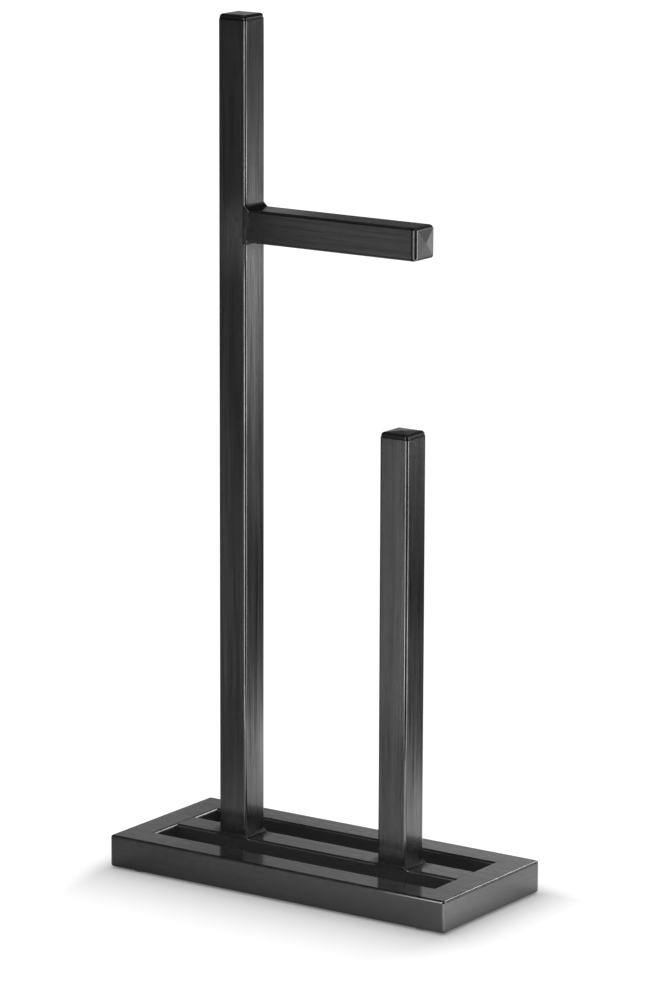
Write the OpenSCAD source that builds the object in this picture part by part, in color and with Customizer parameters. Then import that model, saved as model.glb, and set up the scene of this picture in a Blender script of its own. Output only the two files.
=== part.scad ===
// Free-standing toilet paper holder: a welded square-tube ladder base, a tall post
// with a side arm for the roll in use, and a short post that stores spare rolls.
// Millimetres. X runs along the base towards the free end of the arm, Y to the back,
// Z up. The origin is the middle of the base, at the floor.

/* [Tube] */
// Outside width of the square tube that every member is cut from
tube_w = 25; // [20:0.5:32]
// Wall of the tube
tube_wall = 1.5; // [1:0.1:2.5]
// Outside radius of the tube's long edges
tube_r = 2; // [1:0.25:3]

/* [Base] */
// Length of the base, along the arm
base_len = 306; // [260:1:480]
// Depth of the base, front to back
base_depth = 131.5; // [115:0.5:260]
// Radius ground on the four upright corners of the base
corner_r = 2.75; // [1:0.25:3.25]

/* [Posts] */
// Length of the tall post's tube, above the base
tall_len = 626.5; // [560:0.5:900]
// Distance from the left end of the base to the tall post's centre line
tall_inset = 77.5; // [60:0.5:100]
// Length of the spare-roll post's tube, above the base
spare_len = 327.5; // [150:0.5:380]
// Distance from the right end of the base to the spare post's centre line
spare_inset = 82.5; // [60:0.5:100]

/* [Arm] */
// Length of the arm's tube, from the tall post's side
arm_len = 148.5; // [120:0.5:240]
// Distance from the top of the tall post's tube down to the arm's centre line
arm_drop = 153.5; // [40:0.5:200]

/* [End caps] */
// Height of the narrow neck that leaves a fine line between a tube and its cap
cap_neck = 0.3; // [0.2:0.1:1]
// How far the neck stands in from the cap's rim
neck_inset = 0.5; // [0.2:0.1:0.8]
// Height of the upright rim of a cap
cap_rim = 0.7; // [0.5:0.1:3]
// Radius of the rounded edge between the rim and the top
cap_edge = 2.6; // [1:0.1:4]
// Rise of the four-sided top from its edge to its middle
cap_crown = 0.6; // [0.2:0.1:2]
// How far a cap stands in from the faces of the tube
cap_inset = 0.15; // [0.05:0.05:0.5]
// Depth of the plug below the end of the tube
plug_len = 14; // [8:1:30]
// Wall of the hollow plug
plug_wall = 1.6; // [1:0.1:2.5]
// Gap between the plug's walls and the inside of the tube
plug_gap = 0.9; // [0.5:0.1:1.5]
// Thickness of a gripping fin
fin_t = 0.8; // [0.5:0.1:1.5]
// Number of gripping fins
fin_count = 3; // [1:1:4]
// Gap left between the fins and the inside of the tube
fin_gap = 0.1; // [0.05:0.05:0.3]

/* [Welds] */
// Leg of the fillet weld at the foot of a post and at the root of the arm
weld_leg = 4.5; // [2:0.25:6]
// How far the hollow of the weld's face is eased towards a straight slope
weld_ease = 0.75; // [0.5:0.25:8]
// How far the ground sides of a weld lie under the faces of the tubes
weld_under = 0.1; // [0.05:0.05:0.3]

/* [Feet] */
// Diameter of a foot pad
foot_d = 18; // [10:1:20]
// Thickness of a foot pad
foot_t = 1.2; // [0.6:0.1:4]
// Distance from an end of the base to the middle of a foot pad
foot_inset = 24; // [16:1:50]

/* [Vents] */
// Diameter of the drain holes under the base and of the vents inside the joints
vent_d = 6; // [3:0.5:10]

/* [Hidden] */
$fn = 64;
steel = "#2e2e30";
weld_metal = "#262628";
cap_plastic = "#3a3a3c";
foot_rubber = "#161617";

over = 1;                                          // cutters reach this far past a face
land = 0.05;                                       // keeps a cut off a tangent line
inner_w = tube_w - 2 * tube_wall;
inner_r = max(tube_r - tube_wall, 0.4);
rail_z = foot_t + tube_w / 2;                      // centre line of the rails
base_top = foot_t + tube_w;
long_rail_y = (base_depth - tube_w) / 2;
end_rail_x = (base_len - tube_w) / 2;
centre_len = base_len - 2 * tube_w;
tall_x = tall_inset - base_len / 2;
spare_x = base_len / 2 - spare_inset;
arm_root_x = tall_x + tube_w / 2;
arm_z = base_top + tall_len - arm_drop;
ground_r = max(corner_r, tube_r + land);            // the ground corners take in the tube's edges
cap_w = tube_w - 2 * cap_inset;
cap_corner = max(cap_edge, tube_r) + land;
neck_w = cap_w - 2 * neck_inset;
rim_top = cap_neck + cap_rim;
head_top = rim_top + cap_edge;
plug_w = inner_w - 2 * plug_gap;
fin_w = inner_w - 2 * fin_gap;
fin_pitch = plug_len / (fin_count + 0.5);

// A square of width w with corners of radius r.
module rounded_square(w, r) {
    union() {
        square([w, w - 2 * r], center = true);
        square([w - 2 * r, w], center = true);
        for (sx = [-1, 1], sy = [-1, 1])
            translate([sx * (w / 2 - r), sy * (w / 2 - r)]) circle(r);
    }
}

// Cross-section of the square tube.
module tube_section() {
    difference() {
        rounded_square(tube_w, tube_r);
        rounded_square(inner_w, inner_r);
    }
}

module tube_along_x(len) {
    rotate([90, 0, 90]) linear_extrude(len, center = true) tube_section();
}

module tube_along_y(len) {
    rotate([90, 0, 0]) linear_extrude(len, center = true) tube_section();
}

// Upright section of the base at a corner, from the axis of the ground rounding out.
module corner_section() {
    in = ground_r - tube_r;
    intersection() {
        square([ground_r, tube_w]);
        union() {
            square([in, tube_w]);
            translate([0, tube_r]) square([ground_r, tube_w - 2 * tube_r]);
            for (z = [tube_r, tube_w - tube_r]) translate([in, z]) circle(tube_r);
        }
    }
}

// What is ground away at the four upright corners of the base.
module corner_waste() {
    for (sx = [0, 1], sy = [0, 1]) mirror([sx, 0, 0]) mirror([0, sy, 0])
        translate([base_len / 2 - ground_r, base_depth / 2 - ground_r, foot_t]) difference() {
            translate([0, 0, -over]) cube([ground_r + over, ground_r + over, tube_w + 2 * over]);
            rotate_extrude() corner_section();
        }
}

// A mitred side seen from above: len long outside, cut at 45 degrees at both ends.
module mitre_plan(len, outer_y) {
    reach = tube_w + over;
    polygon([[-len / 2, -outer_y], [len / 2, -outer_y],
             [len / 2 - reach, reach - outer_y], [reach - len / 2, reach - outer_y]]);
}

module long_rail() {
    difference() {
        intersection() {
            translate([0, -long_rail_y, rail_z]) tube_along_x(base_len);
            translate([0, 0, foot_t - over]) linear_extrude(tube_w + 2 * over)
                mitre_plan(base_len, base_depth / 2);
        }
        corner_waste();
        translate([0, -long_rail_y, foot_t - over]) cylinder(d = vent_d, h = 2 * over + tube_wall);
    }
}

module end_rail() {
    difference() {
        intersection() {
            translate([end_rail_x, 0, rail_z]) tube_along_y(base_depth);
            translate([0, 0, foot_t - over]) linear_extrude(tube_w + 2 * over)
                rotate(90) mitre_plan(base_depth, base_len / 2);
        }
        corner_waste();
    }
}

module front_rail() {
    color(steel) long_rail();
}

module back_rail() {
    color(steel) mirror([0, 1, 0]) long_rail();
}

module right_end_rail() {
    color(steel) end_rail();
}

module left_end_rail() {
    color(steel) mirror([1, 0, 0]) end_rail();
}

// The middle rung carries both posts: a vent opens under each, and a drain below.
module centre_rail() {
    color(steel) difference() {
        translate([0, 0, rail_z]) tube_along_x(centre_len);
        for (x = [tall_x, spare_x])
            translate([x, 0, base_top - tube_wall - over]) cylinder(d = vent_d, h = tube_wall + 2 * over);
        translate([0, 0, foot_t - over]) cylinder(d = vent_d, h = 2 * over + tube_wall);
    }
}

module tall_post() {
    color(steel) difference() {
        translate([tall_x, 0, base_top]) linear_extrude(tall_len) tube_section();
        translate([arm_root_x - tube_wall - over, 0, arm_z]) rotate([0, 90, 0])
            cylinder(d = vent_d, h = tube_wall + 2 * over);
    }
}

module spare_post() {
    color(steel) translate([spare_x, 0, base_top]) linear_extrude(spare_len) tube_section();
}

module roll_arm() {
    color(steel) translate([arm_root_x + arm_len / 2, 0, arm_z]) tube_along_x(arm_len);
}

// Upright section of a cap's head out to reach: the rim and its rounded edge.
module rim_section(reach) {
    in = reach - cap_edge;
    intersection() {
        translate([0, cap_neck]) square([reach, cap_rim + cap_edge]);
        union() {
            square([in, head_top]);
            square([reach, rim_top]);
            translate([in, rim_top]) circle(cap_edge);
        }
    }
}

// Head of a cap: four straight sides, and four corners turned about their own axes.
module cap_head() {
    side = cap_w - 2 * cap_corner;
    for (turn = [0 : 90 : 270]) rotate(turn) {
        translate([0, side / 2, 0]) rotate([90, 0, 0]) linear_extrude(side) rim_section(cap_w / 2);
        translate([side / 2, side / 2, 0]) rotate_extrude(angle = 90) rim_section(cap_corner);
    }
}

// Side view of the four-sided crown, which starts inside the rounded edge.
module crown_profile() {
    flat = cap_w / 2 - cap_corner;
    polygon([[-flat, cap_neck], [flat, cap_neck], [flat, head_top],
             [0, head_top + cap_crown], [-flat, head_top]]);
}

// Insert cap, with the end of its tube at z = 0: two crossed crown profiles give the
// four-sided top, and the hollow plug below carries the fins that grip the tube.
module end_cap() {
    cap_head();
    intersection() {
        rotate([90, 0, 0]) linear_extrude(cap_w, center = true) crown_profile();
        rotate([90, 0, 90]) linear_extrude(cap_w, center = true) crown_profile();
    }
    linear_extrude(cap_neck) rounded_square(neck_w, tube_r);
    translate([0, 0, -plug_len]) linear_extrude(plug_len) difference() {
        rounded_square(plug_w, inner_r);
        rounded_square(plug_w - 2 * plug_wall, inner_r);
    }
    for (i = [1 : fin_count])
        translate([0, 0, -i * fin_pitch - fin_t / 2]) linear_extrude(fin_t) difference() {
            rounded_square(fin_w, inner_r);
            rounded_square(plug_w - 2 * plug_wall, inner_r);
        }
}

module tall_post_cap() {
    color(cap_plastic) translate([tall_x, 0, base_top + tall_len]) end_cap();
}

module spare_post_cap() {
    color(cap_plastic) translate([spare_x, 0, base_top + spare_len]) end_cap();
}

module arm_cap() {
    color(cap_plastic) translate([arm_root_x + arm_len, 0, arm_z]) rotate([0, 90, 0]) end_cap();
}

// Fillet section: x out from the branch, y up along it. The ground part behind x = 0
// fills the space left by the branch's rounded corners.
module bead_section() {
    eased = weld_leg + weld_ease;
    difference() {
        translate([-tube_r, 0]) square([tube_r + weld_leg, weld_leg]);
        translate([eased, eased]) circle(norm([eased, weld_ease]));
    }
}

// Fill between the end of a branch and the rounded edge of the tube that carries it.
module groove_section() {
    difference() {
        translate([tube_w / 2 - tube_r + land, -tube_r])
            square([tube_r - land - weld_under, tube_r]);
        translate([tube_w / 2 - tube_r, -tube_r]) circle(tube_r);
    }
}

// Weld of a branch that rises along Z from a tube along X, with both sides flush:
// a fillet on each open side, and the grooves on the flush sides filled and ground.
module joint_weld() {
    side_w = tube_w - 2 * weld_under;
    difference() {
        for (turn = [0, 180]) rotate(turn) {
            translate([tube_w / 2, 0, 0]) rotate([90, 0, 0])
                linear_extrude(side_w, center = true) bead_section();
            rotate([90, 0, 90])
                linear_extrude(tube_w + 2 * weld_leg, center = true) groove_section();
        }
        linear_extrude(weld_leg + over) rounded_square(tube_w, tube_r);
    }
}

module tall_post_weld() {
    color(weld_metal) translate([tall_x, 0, base_top]) joint_weld();
}

module spare_post_weld() {
    color(weld_metal) translate([spare_x, 0, base_top]) joint_weld();
}

module arm_weld() {
    color(weld_metal) translate([arm_root_x, 0, arm_z]) rotate([0, 90, 0]) joint_weld();
}

// The centre rail's ends are welded all round and ground flush with the end rails.
module centre_rail_welds() {
    color(weld_metal) for (turn = [0, 180], face = [-1, 1])
        rotate(turn) translate([centre_len / 2, 0, rail_z]) mirror([0, 0, (face + 1) / 2])
            rotate([90, 0, 0]) linear_extrude(tube_w - 2 * tube_r, center = true)
                rotate(90) groove_section();
}

module foot_pad(sx, sy) {
    color(foot_rubber) translate([sx * (base_len / 2 - foot_inset), sy * long_rail_y, 0])
        cylinder(d = foot_d, h = foot_t);
}

front_rail();
back_rail();
centre_rail();
left_end_rail();
right_end_rail();
tall_post();
spare_post();
roll_arm();
tall_post_cap();
spare_post_cap();
arm_cap();
tall_post_weld();
spare_post_weld();
arm_weld();
centre_rail_welds();
foot_pad(-1, -1);  // front_left_foot
foot_pad(1, -1);  // front_right_foot
foot_pad(-1, 1);  // back_left_foot
foot_pad(1, 1);  // back_right_foot
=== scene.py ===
import math

import bpy
import numpy as np
from mathutils import Matrix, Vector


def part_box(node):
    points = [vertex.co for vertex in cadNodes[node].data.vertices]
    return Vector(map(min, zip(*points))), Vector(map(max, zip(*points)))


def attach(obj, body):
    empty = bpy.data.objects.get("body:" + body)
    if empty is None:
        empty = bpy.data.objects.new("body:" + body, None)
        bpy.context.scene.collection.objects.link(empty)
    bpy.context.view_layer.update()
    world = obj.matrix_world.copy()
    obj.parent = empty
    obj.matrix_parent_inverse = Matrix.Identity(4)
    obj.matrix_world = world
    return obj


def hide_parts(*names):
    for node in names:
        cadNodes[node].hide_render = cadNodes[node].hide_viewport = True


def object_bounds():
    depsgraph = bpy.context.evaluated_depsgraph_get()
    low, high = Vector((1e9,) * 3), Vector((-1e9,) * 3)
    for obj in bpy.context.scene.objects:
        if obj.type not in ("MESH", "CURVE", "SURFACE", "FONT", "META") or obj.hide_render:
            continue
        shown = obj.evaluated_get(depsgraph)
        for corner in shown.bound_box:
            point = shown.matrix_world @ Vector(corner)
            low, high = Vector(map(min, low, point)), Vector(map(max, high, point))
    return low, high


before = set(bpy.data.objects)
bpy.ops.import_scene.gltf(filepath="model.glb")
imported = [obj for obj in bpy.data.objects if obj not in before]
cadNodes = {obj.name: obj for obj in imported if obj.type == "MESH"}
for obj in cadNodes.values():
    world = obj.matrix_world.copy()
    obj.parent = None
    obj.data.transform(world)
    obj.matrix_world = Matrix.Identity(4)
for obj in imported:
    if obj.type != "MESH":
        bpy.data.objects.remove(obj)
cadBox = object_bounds()
print("frame loaded:", len(cadNodes), "nodes")


def newMaterial(name):
    # an empty node material with its output, ready for nodes
    material = bpy.data.materials.new(name)
    material.use_nodes = True
    material.node_tree.nodes.clear()
    output = material.node_tree.nodes.new("ShaderNodeOutputMaterial")
    return material, material.node_tree, output


def addNode(tree, kind, settings=None, **inputs):
    # one node; i0, i1 and so on are its sockets by their order, any other key is a socket's name;
    # a number goes on the socket, and another node's socket is linked to it
    node = tree.nodes.new("ShaderNode" + kind)
    for key, value in (settings or {}).items():
        setattr(node, key, value)
    for key, value in inputs.items():
        byOrder = key[0] == "i" and key[1:].isdigit()
        socket = node.inputs[int(key[1:])] if byOrder else node.inputs[key.replace("_", " ")]
        if isinstance(value, bpy.types.NodeSocket):
            tree.links.new(value, socket)
        else:
            socket.default_value = value
    return node


def mathNode(tree, operation, *values):
    sockets = {"i%d" % order: value for order, value in enumerate(values)}
    return addNode(tree, "Math", {"operation": operation}, **sockets).outputs[0]


def product(tree, first, *others):
    for other in others:
        first = mathNode(tree, "MULTIPLY", first, other)
    return first


def total(tree, first, second):
    return mathNode(tree, "ADD", first, second)


def oneLess(tree, value):
    return mathNode(tree, "SUBTRACT", 1.0, value)


def separate(tree, vector):
    return addNode(tree, "SeparateXYZ", Vector=vector).outputs


def remap(tree, value, low, high, toLow, toHigh, kind="SMOOTHSTEP"):
    # value from low to high becomes toLow to toHigh; toLow and toHigh may be sockets
    node = addNode(tree, "MapRange", {"interpolation_type": kind}, Value=value)
    for name, number in (("From Min", low), ("From Max", high), ("To Min", toLow), ("To Max", toHigh)):
        if isinstance(number, bpy.types.NodeSocket):
            tree.links.new(number, node.inputs[name])
        else:
            node.inputs[name].default_value = number
    return node.outputs["Result"]


def between(tree, share, without, full):
    # the first value where the share is 0, the second where it is 1
    return remap(tree, share, 0.0, 1.0, without, full, "LINEAR")


def curveNode(tree, value, points):
    # a piecewise straight curve through (place, level) points
    lowest, highest = points[0][0], points[-1][0]
    top = max(level for _, level in points)
    fraction = remap(tree, value, lowest, highest, 0.0, 1.0, "LINEAR")
    ramp = addNode(tree, "ValToRGB", Fac=fraction)
    elements = ramp.color_ramp.elements
    while len(elements) < len(points):
        elements.new(1.0)
    for element, (place, level) in zip(elements, points):
        element.position = (place - lowest) / (highest - lowest)
        element.color = [level / top] * 3 + [1.0]
    return product(tree, ramp.outputs["Color"], top)


tube = {
    "wide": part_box("centre_rail")[1].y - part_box("centre_rail")[0].y,
    "edgeRadius": 0.002,
}
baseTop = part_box("front_rail")[1].z
tallBox, spareBox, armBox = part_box("tall_post"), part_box("spare_post"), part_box("roll_arm")
joints = {                    # middle of each branch's end, where it is welded to the tube that carries it
    "tall_post_weld": ((tallBox[0].x + tallBox[1].x) / 2, 0.0, baseTop),
    "spare_post_weld": ((spareBox[0].x + spareBox[1].x) / 2, 0.0, baseTop),
    "arm_weld": (armBox[0].x, 0.0, (armBox[0].z + armBox[1].z) / 2),
}
mouths = [                    # open ends of the tubes: the middle across the tube, the axis along it, the end
    (joints["tall_post_weld"][0], "Z", tallBox[1].z),
    (joints["spare_post_weld"][0], "Z", spareBox[1].z),
    (joints["arm_weld"][2], "X", armBox[1].x),
]

brushedSteel = {
    "colour": 0.055,
    "blueTint": 1.01,
    "metallic": 0.90,
    "roughness": 0.17,
    "roughnessSpread": 0.03,
    "anisotropy": 0.82,
    "bumpDepth": 0.0002,
    "streakWide": 0.0015,     # metres across the grain
    "streakLong": 0.060,      # metres along the grain
    "bandWide": 3.5,          # broader bands lie between the streaks, this many times as wide
    "bandLong": 4.5,          # and this many times as long
    "bandShare": 0.45,
    "frontShare": 0.52,       # the streaks show this much as strongly on the faces to the front and back
    "footShare": 0.30,        # and this much at the posts' feet
    "footEnd": (0.05, 0.13),  # metres above the floor between which they come in
    "fleckWide": 0.0009,      # the short marks, which show most on the upper faces
    "fleckLong": 0.009,
    "fleckSide": 0.12,        # and this much as strongly on the others
    "mottleSize": 0.0045,     # metres, size of the soft clouds in the finish
    "mottleSpread": 0.03,
    "edgeWearAndHighlight": 1.5,          # the rounded edges are rubbed this much brighter, which also paints in their highlight lines
    "groundReach": 0.027,     # metres round a welded joint where the finish is ground by hand
    "groundShade": 0.95,      # the ground finish is this share as light as the rest
    "groundSpread": 0.18,     # with clouds this much lighter and darker
    "groundRoughness": 0.21,
    "groundBump": 0.25,       # what is left of the streaks' relief
    "footRoughness": 0.40,    # round the joints of the base
    "beadPaintedShade": 0.12,        # the fillets in the joints' corners are painted this share as light: painted shade
    "beadRoughness": 0.38,
    "slotLightMetallic": 0.35,  # inside the base's slots the steel is less metallic, which lightens the walls' matt colour: painted light in the slots
    "slotEdge": 0.9,       # the slots' walls lie this many tube widths in from the base's outline
    "slotTop": 0.001,      # metres below the base's top where the lightened slot walls begin
    "mouthBand": 0.0006,      # metres of painted shadow line at each tube's open end, under its cap
    "mouthPaintedShade": 0.15,
}
noiseSpans = {                # the noise's levels taken as its darkest and its brightest
    "streaks": (0.34, 0.66),
    "gloss": (0.30, 0.70),
    "flecks": (0.30, 0.70),
    "clouds": (0.35, 0.65),
}
faceSpans = {                 # how squarely a face looks along an axis, from not counted to fully counted
    "endRailTop": (0.60, 0.80),
    "frontOrBack": (0.50, 0.90),
    "flecked": (0.60, 0.95),
    "flat": (0.86, 0.985),    # below this it is a rounded edge
    "slotWall": 0.8,          # a slot's wall looks up less than this
    "beadSide": (0.80, 0.99),
}


def stretchedNoise(tree, coords, wide, long, detail):
    # noise drawn out along the grain, which is the first axis of these coordinates
    size = (1 / long, 1 / wide, 1 / wide)
    place = addNode(tree, "VectorMath", {"operation": "MULTIPLY"}, i0=coords, i1=size).outputs[0]
    return addNode(tree, "TexNoise", Vector=place, Scale=1.0, Detail=detail, Roughness=0.6).outputs["Fac"]


def grainPlace(tree, coords, axis):
    # the place with the grain axis put first
    parts = separate(tree, coords)
    first, *rest = [parts[axis]] + [parts[other] for other in "XYZ" if other != axis]
    return addNode(tree, "CombineXYZ", i0=first, i1=rest[0], i2=rest[1]).outputs[0]


def grainAndTangent(tree, coords, grain, facing):
    # coordinates along the grain, and the grain's direction for the shader
    along = grainPlace(tree, coords, grain)
    tangent = [float(grain == axis) for axis in "XYZ"]
    if grain != "Y":
        return along, addNode(tree, "CombineXYZ", i0=tangent[0], i1=tangent[1], i2=tangent[2]).outputs[0]
    # the end rails' upper faces were brushed together with the long rails
    upper = remap(tree, facing["Z"], *faceSpans["endRailTop"], 0.0, 1.0)
    kind = {"data_type": "VECTOR"}
    along = addNode(tree, "Mix", kind, Factor=upper, i4=along, i5=grainPlace(tree, coords, "X")).outputs[1]
    return along, addNode(tree, "Mix", kind, Factor=upper, i4=tangent, i5=(1, 0, 0)).outputs[1]


def besideJoints(tree, coords):
    # 1 over the inner half of the ground reach and 0 past it: round all the joints, and round the base's two
    reach = brushedSteel["groundReach"]
    ground, feet = 0.0, 0.0
    for joint, place in joints.items():
        away = addNode(tree, "VectorMath", {"operation": "DISTANCE"}, i0=coords, i1=place).outputs["Value"]
        near = remap(tree, away, reach * 0.5, reach, 1.0, 0.0)
        ground = mathNode(tree, "MAXIMUM", near, ground)
        if joint != "arm_weld":
            feet = mathNode(tree, "MAXIMUM", near, feet)
    return ground, feet


def insideSlots(tree, place, facing):
    # 1 on the walls inside the base's slots
    inner = [cadBox[1][axis] - tube["wide"] * brushedSteel["slotEdge"] for axis in range(2)]
    limits = (
        (mathNode(tree, "ABSOLUTE", place["X"]), inner[0]),
        (mathNode(tree, "ABSOLUTE", place["Y"]), inner[1]),
        (place["Z"], baseTop - brushedSteel["slotTop"]),
        (facing["Z"], faceSpans["slotWall"]),
    )
    return product(tree, *[mathNode(tree, "LESS_THAN", value, limit) for value, limit in limits])


def capShadowLines(tree, place):
    # a painted shadow line for each tube's mouth, where its cap sits: dark in a band at its end that fades out soon,
    # and 1 elsewhere; a face is on that tube when it is no further from its middle than a little over half a width
    band, shades = brushedSteel["mouthBand"], []
    for centre, end, level in mouths:
        past = mathNode(tree, "ABSOLUTE", mathNode(tree, "SUBTRACT", place[end], level))
        beside = mathNode(tree, "ABSOLUTE", mathNode(tree, "SUBTRACT", place["X" if end == "Z" else "Z"], centre))
        onTube = mathNode(tree, "LESS_THAN", beside, tube["wide"] * 0.6)
        shadowLine = product(tree, remap(tree, past, band, band * 1.3, 1.0, 0.0, "LINEAR"), onTube)
        shades.append(between(tree, shadowLine, 1.0, brushedSteel["mouthPaintedShade"]))
    return shades


def brushedMaterial(name, grain, streak, fleck, bump, bead=False):
    # long fine lines along the grain that give way to hand-ground clouds round the welded joints
    s = brushedSteel
    material, tree, output = newMaterial(name)
    coords = addNode(tree, "TexCoord").outputs["Object"]
    place = separate(tree, coords)
    normal = separate(tree, addNode(tree, "NewGeometry").outputs["Normal"])
    facing = {axis: mathNode(tree, "ABSOLUTE", normal[axis]) for axis in "XYZ"}
    along, tangent = grainAndTangent(tree, coords, grain, facing)
    ground, feet = besideJoints(tree, coords)
    slotsLightened = insideSlots(tree, place, facing)

    # the patterns
    fine = stretchedNoise(tree, along, s["streakWide"], s["streakLong"], 2.5)
    broad = stretchedNoise(tree, along, s["streakWide"] * s["bandWide"], s["streakLong"] * s["bandLong"], 2.0)
    flecks = stretchedNoise(tree, along, s["fleckWide"], s["fleckLong"], 2.0)
    lines = total(tree, product(tree, fine, 1 - s["bandShare"]), product(tree, broad, s["bandShare"]))
    cloud = addNode(tree, "TexNoise", Vector=coords, Scale=1 / s["mottleSize"], Detail=4.0, Roughness=0.6,
                    Distortion=0.8).outputs["Fac"]

    # how light each of them makes the steel
    depth = remap(tree, facing["Y"], *faceSpans["frontOrBack"], streak, streak * s["frontShare"])
    if grain == "Z":
        depth = product(tree, depth, remap(tree, place["Z"], *s["footEnd"], s["footShare"], 1.0))
    streaks = remap(tree, lines, *noiseSpans["streaks"], -1.0, 1.0, "LINEAR")
    fleckShare = remap(tree, facing["Z"], *faceSpans["flecked"], s["fleckSide"], 1.0)
    fleckShade = remap(tree, flecks, *noiseSpans["flecks"], -fleck, fleck, "LINEAR")
    lineShade = total(tree, total(tree, 1.0, product(tree, depth, streaks)), product(tree, fleckShare, fleckShade))
    mottle = remap(tree, cloud, *noiseSpans["clouds"], 1 - s["mottleSpread"], 1 + s["mottleSpread"])
    groundShade = remap(tree, cloud, *noiseSpans["clouds"], s["groundShade"] * (1 - s["groundSpread"]),
                        s["groundShade"] * (1 + s["groundSpread"]))
    shade = between(tree, ground, product(tree, lineShade, mottle), groundShade)
    # the rounded edges come out brighter: partly wear, partly a painted highlight along them
    flat = mathNode(tree, "MAXIMUM", facing["X"], mathNode(tree, "MAXIMUM", facing["Y"], facing["Z"]))
    # each tube's mouth gets a painted shadow line where its cap sits
    shade = product(tree, shade, remap(tree, flat, *faceSpans["flat"], s["edgeWearAndHighlight"], 1.0), *capShadowLines(tree, place))

    # how rough and how metallic it is
    rough = remap(tree, lines, *noiseSpans["gloss"], s["roughness"] + s["roughnessSpread"],
                  s["roughness"] - s["roughnessSpread"])
    rough = between(tree, ground, rough, s["groundRoughness"])
    rough = between(tree, product(tree, feet, oneLess(tree, slotsLightened)), rough, s["footRoughness"])
    # less metallic in the slots, so their walls show a lighter matt colour: painted light
    metallic = between(tree, slotsLightened, s["metallic"], s["slotLightMetallic"])
    if bead:
        # the fillets are painted darker: painted shade in the corners of the joints
        sides = remap(tree, facing["Y"], *faceSpans["beadSide"], 0.0, 1.0)
        shade = product(tree, shade, between(tree, sides, s["beadPaintedShade"], 1.0))
        rough = between(tree, sides, s["beadRoughness"], rough)

    shade = product(tree, shade, s["colour"])
    colour = addNode(tree, "CombineColor", i0=shade, i1=shade, i2=product(tree, shade, s["blueTint"])).outputs[0]
    relief = product(tree, lines, between(tree, ground, 1.0, s["groundBump"]))
    bumped = addNode(tree, "Bump", Strength=bump, Distance=s["bumpDepth"], Height=relief).outputs[0]
    shader = addNode(tree, "BsdfPrincipled", Base_Color=colour, Metallic=metallic, Roughness=rough,
                     Anisotropic=s["anisotropy"], Anisotropic_Rotation=0.25, Tangent=tangent, Normal=bumped)
    tree.links.new(shader.outputs[0], output.inputs["Surface"])
    return material


steelAlongX = brushedMaterial("blackBrushedSteelAlongX", "X", streak=0.12, fleck=1.00, bump=0.04)
steelAlongY = brushedMaterial("blackBrushedSteelAlongY", "Y", streak=0.08, fleck=0.90, bump=0.02)
steelAlongZ = brushedMaterial("blackBrushedSteelAlongZ", "Z", streak=1.00, fleck=1.00, bump=0.30)
beadAlongX = brushedMaterial("blackWeldAlongX", "X", streak=0.12, fleck=0.20, bump=0.04, bead=True)
beadAlongZ = brushedMaterial("blackWeldAlongZ", "Z", streak=0.70, fleck=0.30, bump=0.20, bead=True)

plainFinishes = {             # grainSize is in metres, spread is how much the grain lightens and darkens
    "capPlastic": {
        "colour": 0.010, "roughness": 0.18, "gloss": 0.24, "grainSize": 0.0011, "spread": 0.10, "bump": 0.16,
    },
    # the same cap plastic made lighter and glossier for the arm's end cap: painted light
    "armCapPlasticLit": {
        "colour": 0.014, "roughness": 0.23, "gloss": 0.62, "grainSize": 0.0040, "spread": 0.30, "bump": 0.10,
    },
    "footRubber": {
        "colour": 0.020, "roughness": 0.70, "gloss": 0.50, "grainSize": 0.0008, "spread": 0.15, "bump": 0.20,
    },
}


def plainMaterial(name):
    # an even moulded finish with a fine grain
    f = plainFinishes[name]
    material, tree, output = newMaterial(name)
    coords = addNode(tree, "TexCoord").outputs["Object"]
    grain = addNode(tree, "TexNoise", Vector=coords, Scale=1 / f["grainSize"], Detail=3.0,
                    Roughness=0.6).outputs["Fac"]
    shade = remap(tree, grain, 0.3, 0.7, f["colour"] * (1 - f["spread"]), f["colour"] * (1 + f["spread"]))
    tint = addNode(tree, "CombineColor", i0=shade, i1=shade, i2=shade).outputs[0]
    normal = addNode(tree, "Bump", Strength=f["bump"], Distance=0.0002, Height=grain).outputs[0]
    shader = addNode(tree, "BsdfPrincipled", Base_Color=tint, Roughness=f["roughness"],
                     Specular_IOR_Level=f["gloss"], Normal=normal)
    tree.links.new(shader.outputs[0], output.inputs["Surface"])
    return material


capPlastic, armCapPlasticLit, footRubber = (plainMaterial(name) for name in plainFinishes)
finishes = {
    "front_rail": steelAlongX, "back_rail": steelAlongX, "centre_rail": steelAlongX, "roll_arm": steelAlongX,
    "left_end_rail": steelAlongY, "right_end_rail": steelAlongY, "centre_rail_welds": steelAlongX,
    "tall_post": steelAlongZ, "spare_post": steelAlongZ,
    "tall_post_cap": capPlastic, "spare_post_cap": capPlastic, "arm_cap": armCapPlasticLit,
    "front_left_foot": footRubber, "front_right_foot": footRubber,
    "back_left_foot": footRubber, "back_right_foot": footRubber,
}
for name, material in finishes.items():
    for slot in cadNodes[name].material_slots:
        slot.material = material
print("finishes put on the frame")


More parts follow.
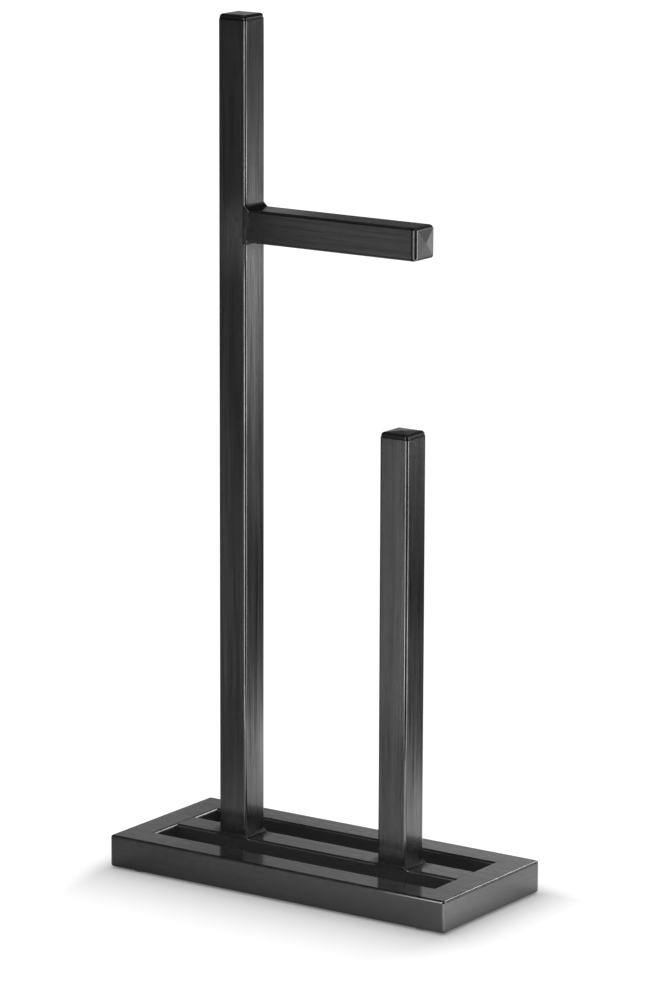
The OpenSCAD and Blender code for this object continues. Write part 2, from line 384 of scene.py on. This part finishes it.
weld = {
    "under": 0.0030,          # how far the ground sides reach down past the top of the carrying tube
    "proud": 0.00002,         # the ground sides stand this much out of the tubes' faces
    "thick": 0.0007,          # metal of the weld inside the tube's wall
    "top": 0.0034,            # tallest point of the fillet, where it meets the branch
    "reach": 0.0034,          # how far the fillet runs out over the carrying tube
    "hollow": 0.0136e-3,      # square metres, how far the fillet's curve stands off its corner
    "soften": 0.0002,         # metres that keep the curve finite at the branch
    "shoulder": 0.0008,       # radius between the fillet and its ground sides, beside the branch
    "wave": 0.05,             # how uneven the fillet is, as a share of its height
    "rippleAlong": (900, 400),    # radians for each metre along the carrying tube
    "rippleAcross": (9, 21),      # radians from the middle to the side
    "stations": 120,          # rings along the carrying tube
    "crowding": 0.6,          # below 1 the rings stand closer together towards the toes
    "ribs": 26,               # points across the fillet
    "turns": 7,               # points round a shoulder
    "crease": 50,             # degrees from which an edge stays sharp
}


def eased(t):
    # 0 to 1 with level ends: three times the square less twice the cube
    return t * t * (3 - 2 * t)


def filletHeight(out, size):
    # height over the carrying tube at a distance out from the branch's rounded edge: one over the distance,
    # less what brings it to nothing at the toe, and eased to stay under the top; size scales the fillet
    toe = tube["edgeRadius"] + weld["reach"] * size
    hollow = weld["hollow"] * size
    free = hollow / (np.clip(out, 0.0, toe) + weld["soften"]) - hollow / (toe + weld["soften"])
    return free / np.sqrt(1 + (free / (weld["top"] * size)) ** 2)


def weldPiece(name, along, up, front, tail):
    # rings across the joint, each a bridge over the carrying tube: two ground sides, rounded shoulders and the
    # fillet's own height between them; the rings run along the carrying tube from toe to toe, at places that are
    # a line from -1 to 1 raised to the crowding, times half a tube and the reach; front is the share of the fillet
    # left at the front, where more was ground away, and tail its share on the branch's far side
    w = weld
    half, edge = tube["wide"] / 2, tube["edgeRadius"]
    side, inside = half + w["proud"], half + w["proud"] - w["thick"]
    a = np.linspace(-1, 1, w["stations"])
    full = np.where(a > 0, tail, 1.0)
    a = np.sign(a) * np.abs(a) ** w["crowding"] * (half + w["reach"] * full)
    out = np.abs(a) - (half - edge)
    beyond = np.abs(a) > half
    toeShare = eased(np.clip((np.abs(a) - half) / (w["reach"] * full), 0, 1))
    shoulder = w["shoulder"] + (edge - w["shoulder"]) * toeShare

    # shoulders: a quarter turn from the side up to the top
    turn = np.linspace(0, math.pi / 2, w["turns"])[:, None]
    inward, below = shoulder * (1 - np.cos(turn)), shoulder * (1 - np.sin(turn))
    frontHeight, backHeight = (filletHeight(out, size * full) + w["proud"] for size in (front, 1.0))

    # between them: the fillet's height, from its front share to full at the back, with a slight wave past the branch
    t = np.linspace(-1, 1, w["ribs"])[1:-1, None]
    height = filletHeight(out, (front + (1 - front) * eased((t + 1) / 2)) * full) + w["proud"]
    ripple = (np.sin(a * w["rippleAlong"][0] + t * w["rippleAcross"][0])
              * np.sin(t * w["rippleAcross"][1] + a * w["rippleAlong"][1]))
    height = height * (1 + ripple * w["wave"] * np.clip(1 - t ** 6, 0, 1) * beyond)

    level = np.ones_like(a)
    across = np.vstack([-side * level, -side + inward, t * (side - shoulder), (side - inward)[::-1],
                        side * level, inside * level, inside * level, -inside * level, -inside * level])
    rise = np.vstack([-w["under"] * level, frontHeight - below, height, (backHeight - below)[::-1],
                      -w["under"] * level, -w["under"] * level, -w["thick"] * level, -w["thick"] * level,
                      -w["under"] * level])
    across, rise = across.T, rise.T
    rings, points = across.shape
    middle, along, up = (np.array(v, float) for v in (joints[name], along, up))
    cross = np.cross(up, along)
    verts = (middle + a[:, None, None] * along + across[..., None] * cross + rise[..., None] * up).reshape(-1, 3)

    # each ring is joined to the next, and both ends are closed
    i, j = np.meshgrid(np.arange(rings - 1), np.arange(points), indexing="ij")
    k = (j + 1) % points
    quads = np.stack([i * points + j, i * points + k, (i + 1) * points + k, (i + 1) * points + j], -1).reshape(-1, 4)
    ends = [list(range(points))[::-1], [(rings - 1) * points + p for p in range(points)]]
    mesh = bpy.data.meshes.new(name + "_bead")
    mesh.from_pydata(verts.tolist(), [], quads.tolist() + ends)
    mesh.update()
    piece = bpy.data.objects.new(name + "_bead", mesh)
    bpy.context.scene.collection.objects.link(piece)
    mesh.materials.append(beadAlongZ if up[2] else beadAlongX)
    mesh.polygons.foreach_set("use_smooth", [True] * len(mesh.polygons))
    mesh.set_sharp_from_angle(angle=math.radians(w["crease"]))
    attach(piece, "root")
    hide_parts(name)


weldPiece("tall_post_weld", (1, 0, 0), (0, 0, 1), front=0.5, tail=1.0)
weldPiece("spare_post_weld", (1, 0, 0), (0, 0, 1), front=0.5, tail=1.0)
weldPiece("arm_weld", (0, 0, -1), (1, 0, 0), front=0.9, tail=0.5)
print("welds ground")


studio = {
    "floorHalf": 24.0,
    "floorColour": 0.60,
    "floorGlow": 0.60,        # what the floor adds of its own for the camera, so that it reads as white
    "skyLevel": 0.85,         # plain even light from all round
    "lookYaw": 34.332,        # degrees; the floor's sheen behind is laid out across this line of sight
    "frontLine": (-0.02, 0.10),   # metres along Y between which the sheen in front gives way to the one behind
}
contact = {                   # the painted shadow round the base: the floor's level against metres away from it
    "level": [(0.0, 0.25), (0.002, 0.32), (0.022, 0.50), (0.044, 0.64), (0.062, 0.76), (0.088, 0.88),
              (0.125, 0.97), (0.160, 1.0)],
    "leftNarrower": 4.6,      # the shade runs out this many times as soon at the left as in front
    "rightNarrower": 2.2,
    "backNarrower": 4.0,
    "taper": 0.25,            # and its ends draw in as it runs out to the front
}
darkAhead = {                 # far behind, the floor straight ahead is dark and only its right side shines
    "slant": (0.7, 1.7),      # metres to the right for each metre away, from dark to shining
    "depth": (0.3, 0.8),      # metres away between which it comes in
    "share": 0.85,
}
dullStrip = {                 # a dull strip lies in line with the short post
    "slant": -0.687,
    "edge": (-0.14, -0.04),
    "starts": (0.7, 1.0),     # metres to the right of the line of sight
    "stops": (2.2, 2.7),
    "share": 0.97,
}
sheenBehind = [               # level of the floor in the gloss, against metres to the right of the line of sight
    (-5.0, 0.25), (-0.60, 0.45), (-0.30, 0.90), (0.09, 1.5), (0.16, 2.2), (0.30, 2.3), (0.38, 1.5), (0.46, 1.0),
    (0.56, 0.60), (0.73, 0.38), (0.85, 0.55), (1.00, 1.0), (1.13, 1.4), (1.31, 1.8), (1.51, 2.2),
    (1.70, 2.9), (1.92, 3.8), (2.10, 4.1), (2.30, 3.9), (2.50, 2.9), (3.50, 1.05), (4.20, 0.85), (5.00, 0.30),
]
sheenInFront = [              # and in front of the object, against metres along X
    (-1.10, 0.20), (-0.40, 0.40), (-0.27, 0.46), (-0.225, 0.66), (-0.17, 0.86), (-0.11, 1.15), (-0.04, 1.30),
    (0.04, 1.42), (0.10, 1.35), (0.15, 2.0), (0.17, 3.0), (0.30, 3.0),
]
skyUp = [                     # level of the sky in the gloss, against its height (the sine of the elevation)
    (-1.0, 0.60), (0.0, 0.60), (0.03, 0.40), (0.10, 0.44), (0.26, 0.44), (0.34, 0.15), (0.50, 0.05), (0.80, 0.06),
    (0.88, 0.30), (1.0, 0.50),
]


def seenInGloss(tree):
    # whether the camera looks straight at it, and whether it is seen in gloss or through glass
    rays = addNode(tree, "LightPath").outputs
    return rays["Is Camera Ray"], mathNode(tree, "MAXIMUM", rays["Is Glossy Ray"], rays["Is Transmission Ray"])


def alongDirection(tree, coords, x, y):
    return addNode(tree, "VectorMath", {"operation": "DOT_PRODUCT"}, i0=coords, i1=(x, y, 0)).outputs["Value"]


def whiteGlow(tree, strength):
    return addNode(tree, "Emission", Color=[1, 1, 1, 1], Strength=strength).outputs[0]


def contactShade(tree, coords):
    # a painted contact shadow: distance from the base's outline on the floor, counted longer at the sides and the
    # back, turned into a level
    low, high = cadBox
    place = separate(tree, coords)

    def beyond(axis, edge, sign, narrower, taper=0.0):
        gap = total(tree, product(tree, mathNode(tree, "SUBTRACT", place[axis], edge), sign), taper)
        return product(tree, mathNode(tree, "MAXIMUM", gap, 0.0), narrower)

    along = total(tree, beyond("Y", low[1], -1, 1.0), beyond("Y", high[1], 1, contact["backNarrower"]))
    taper = product(tree, along, contact["taper"])
    across = total(tree, beyond("X", low[0], -1, contact["leftNarrower"], taper),
                   beyond("X", high[0], 1, contact["rightNarrower"], taper))
    squares = total(tree, mathNode(tree, "POWER", across, 2.0), mathNode(tree, "POWER", along, 2.0))
    return curveNode(tree, mathNode(tree, "SQRT", squares), contact["level"])


def floorSheen(tree, coords):
    # the sheen of a studio floor with dark ends, as the object's gloss shows it
    yaw = math.radians(studio["lookYaw"])
    right = alongDirection(tree, coords, math.cos(yaw), math.sin(yaw))
    away = alongDirection(tree, coords, -math.sin(yaw), math.cos(yaw))
    front = remap(tree, alongDirection(tree, coords, 0, 1), *studio["frontLine"], 1.0, 0.0)
    sheen = between(tree, front, curveNode(tree, right, sheenBehind),
                    curveNode(tree, alongDirection(tree, coords, 1, 0), sheenInFront))
    slant = mathNode(tree, "DIVIDE", right, mathNode(tree, "MAXIMUM", away, 0.01))    # never over nothing
    ahead = product(tree, remap(tree, slant, *darkAhead["slant"], 1.0, 0.0),
                    remap(tree, away, *darkAhead["depth"], 0.0, darkAhead["share"]))
    beside = alongDirection(tree, coords, 1.0, dullStrip["slant"])
    length = product(tree, remap(tree, right, *dullStrip["starts"], 0.0, 1.0),
                     remap(tree, right, *dullStrip["stops"], 1.0, 0.0))
    dull = product(tree, remap(tree, beside, *dullStrip["edge"], 0.0, dullStrip["share"]), length)
    return product(tree, sheen, oneLess(tree, ahead), oneLess(tree, dull))


def floorMaterial():
    # a pale matt floor: the camera sees it white and the gloss sees its sheen, both darkened round the base by a
    # painted contact shadow
    material, tree, output = newMaterial("paleFloor")
    camera, gloss = seenInGloss(tree)
    coords = addNode(tree, "TexCoord").outputs["Object"]
    paintedShadowLevel = contactShade(tree, coords)
    matt = addNode(tree, "BsdfDiffuse", Color=[studio["floorColour"]] * 3 + [1]).outputs[0]
    glow = whiteGlow(tree, product(tree, camera, studio["floorGlow"], paintedShadowLevel))
    plain = addNode(tree, "AddShader", i0=matt, i1=glow).outputs[0]
    shine = whiteGlow(tree, product(tree, floorSheen(tree, coords), paintedShadowLevel))
    mixed = addNode(tree, "MixShader", Fac=gloss, i1=plain, i2=shine).outputs[0]
    tree.links.new(mixed, output.inputs["Surface"])
    return material


def flatSheet(name, corners, material):
    # four corners in order make one flat sheet that belongs to the studio
    mesh = bpy.data.meshes.new(name)
    mesh.from_pydata(corners, [], [(0, 1, 2, 3)])
    sheet = bpy.data.objects.new(name, mesh)
    bpy.context.scene.collection.objects.link(sheet)
    mesh.materials.append(material)
    return sheet


def studioSky():
    # white for the camera, even light on everything, and its own levels in the gloss
    world = bpy.data.worlds.new("studio")
    bpy.context.scene.world = world
    world.use_nodes = True
    tree = world.node_tree
    tree.nodes.clear()
    height = separate(tree, addNode(tree, "TexCoord").outputs["Generated"])["Z"]
    camera, gloss = seenInGloss(tree)
    level = between(tree, camera, studio["skyLevel"], 1.0)
    level = between(tree, gloss, level, curveNode(tree, height, skyUp))
    background = addNode(tree, "Background", Color=[1, 1, 1, 1], Strength=level)
    output = tree.nodes.new("ShaderNodeOutputWorld")
    tree.links.new(background.outputs[0], output.inputs["Surface"])


half = studio["floorHalf"]
flatSheet("floor", [(-half, -half, 0), (half, -half, 0), (half, half, 0), (-half, half, 0)], floorMaterial())
studioSky()

even = [(0.0, 1.0), (1.0, 1.0)]
cards = {
    # standing cards: name, the foot's two ends, lowest and highest edge, level along X, level up Z
    "farLeftCard": ((-1.10, -0.46), (-0.365, -0.46), 0.0, 0.75,
                    [(-1.10, 0.15), (-0.50, 0.27), (-0.39, 0.27), (-0.365, 0.24)],
                    [(0.0, 2.1), (0.08, 1.9), (0.24, 1.4), (0.47, 1.15), (0.5877, 1.05), (0.5895, 0.15),
                     (0.75, 0.15)]),
    "leftCard": ((-0.365, -0.46), (-0.185, -0.46), 0.0, 0.75,
                 [(-0.365, 0.33), (-0.30, 0.62), (-0.235, 0.66), (-0.185, 0.48)],
                 [(0.0, 1.1), (0.16, 0.82), (0.243, 0.68), (0.2445, 0.08), (0.37, 0.08), (0.39, 2.9), (0.427, 2.9),
                  (0.435, 0.06), (0.75, 0.06)]),
    "stripCard": ((-0.145, -0.46), (0.09, -0.46), 0.0, 0.75,
                  [(-0.145, 8.0), (0.09, 8.0)],
                  [(0.0, 1.0), (0.385, 1.0), (0.392, 0.1), (0.428, 0.1), (0.435, 1.0), (0.75, 1.0)]),
    "cameraFlag": ((0.10, -0.50), (0.60, -0.07), 0.0, 0.75, [(0, 0.03), (1, 0.03)], even),
    "leftFlag": ((-1.15, -0.46), (-1.15, 0.50), 0.0, 0.75, [(-2, 0.03), (0, 0.03)], even),
    "lowCard": ((0.90, 2.0), (2.00, 2.0), 0.62, 0.90, [(0, 4.0), (1, 4.0)], even),
    "rightCard": ((0.50, 0.09), (0.50, 0.30), 0.0, 0.75, [(0, 8.5), (1, 8.5)], even),
    "backCard": ((-1.00, 0.80), (-0.20, 0.80), 0.10, 0.355,
                 [(-1.00, 0.64), (-0.72, 0.67), (-0.68, 0.54), (-0.60, 0.62), (-0.50, 0.74), (-0.40, 0.92),
                  (-0.20, 1.0)], even),
    "armCard": ((-1.00, 0.80), (-0.30, 0.80), 0.58, 0.78,
                [(-1.00, 0.30), (-0.60, 0.30), (-0.55, 0.09), (-0.30, 0.09)], even),
    "edgeCard": ((-0.16, 0.85), (0.32, 0.85), 0.55, 0.70, [(0, 10.0), (1, 10.0)], even),
}
for name, (start, end, low, high, alongX, upZ) in cards.items():
    # only the gloss of the object sees a card; its level is one curve along X times one up Z
    material, tree, output = newMaterial(name)
    place = separate(tree, addNode(tree, "TexCoord").outputs["Object"])
    glow = whiteGlow(tree, product(tree, curveNode(tree, place["X"], alongX), curveNode(tree, place["Z"], upZ)))
    tree.links.new(glow, output.inputs["Surface"])
    card = flatSheet(name, [(*start, low), (*end, low), (*end, high), (*start, high)], material)
    card.visible_camera = card.visible_diffuse = card.visible_shadow = False
    card.visible_transmission = card.visible_volume_scatter = False
print("studio lit")


view = {
    "lookAt": (0.008612, 0.0, 0.297441),
    "distance": 3.6695,       # metres
    "yaw": 34.332,            # degrees, as are pitch and roll
    "pitch": 12.329,
    "roll": 0.199,
    "lens": 176.80,
    "sensor": 36.0,
}


def placeCamera():
    # the camera looks down by its pitch from the right of the front, and is turned a little by its roll
    yaw, pitch, roll = (math.radians(view[key]) for key in ("yaw", "pitch", "roll"))
    forward = np.array([-math.sin(yaw) * math.cos(pitch), math.cos(yaw) * math.cos(pitch), -math.sin(pitch)])
    right = np.array([math.cos(yaw), math.sin(yaw), 0.0])
    up = np.cross(right, forward)
    turned = math.cos(roll) * right + math.sin(roll) * up, -math.sin(roll) * right + math.cos(roll) * up
    spot = np.array(view["lookAt"]) - forward * view["distance"]
    camera = bpy.data.cameras.new("camera")
    camera.lens, camera.sensor_width, camera.sensor_fit = view["lens"], view["sensor"], "AUTO"
    camera.clip_end = 60.0
    holder = bpy.data.objects.new("camera", camera)
    bpy.context.scene.collection.objects.link(holder)
    columns = np.column_stack([turned[0], turned[1], -forward])
    holder.matrix_world = Matrix.Translation(spot.tolist()) @ Matrix(columns.tolist()).to_4x4()
    bpy.context.scene.camera = holder


placeCamera()
bpy.context.scene.view_settings.view_transform = "Standard"
print("camera placed")
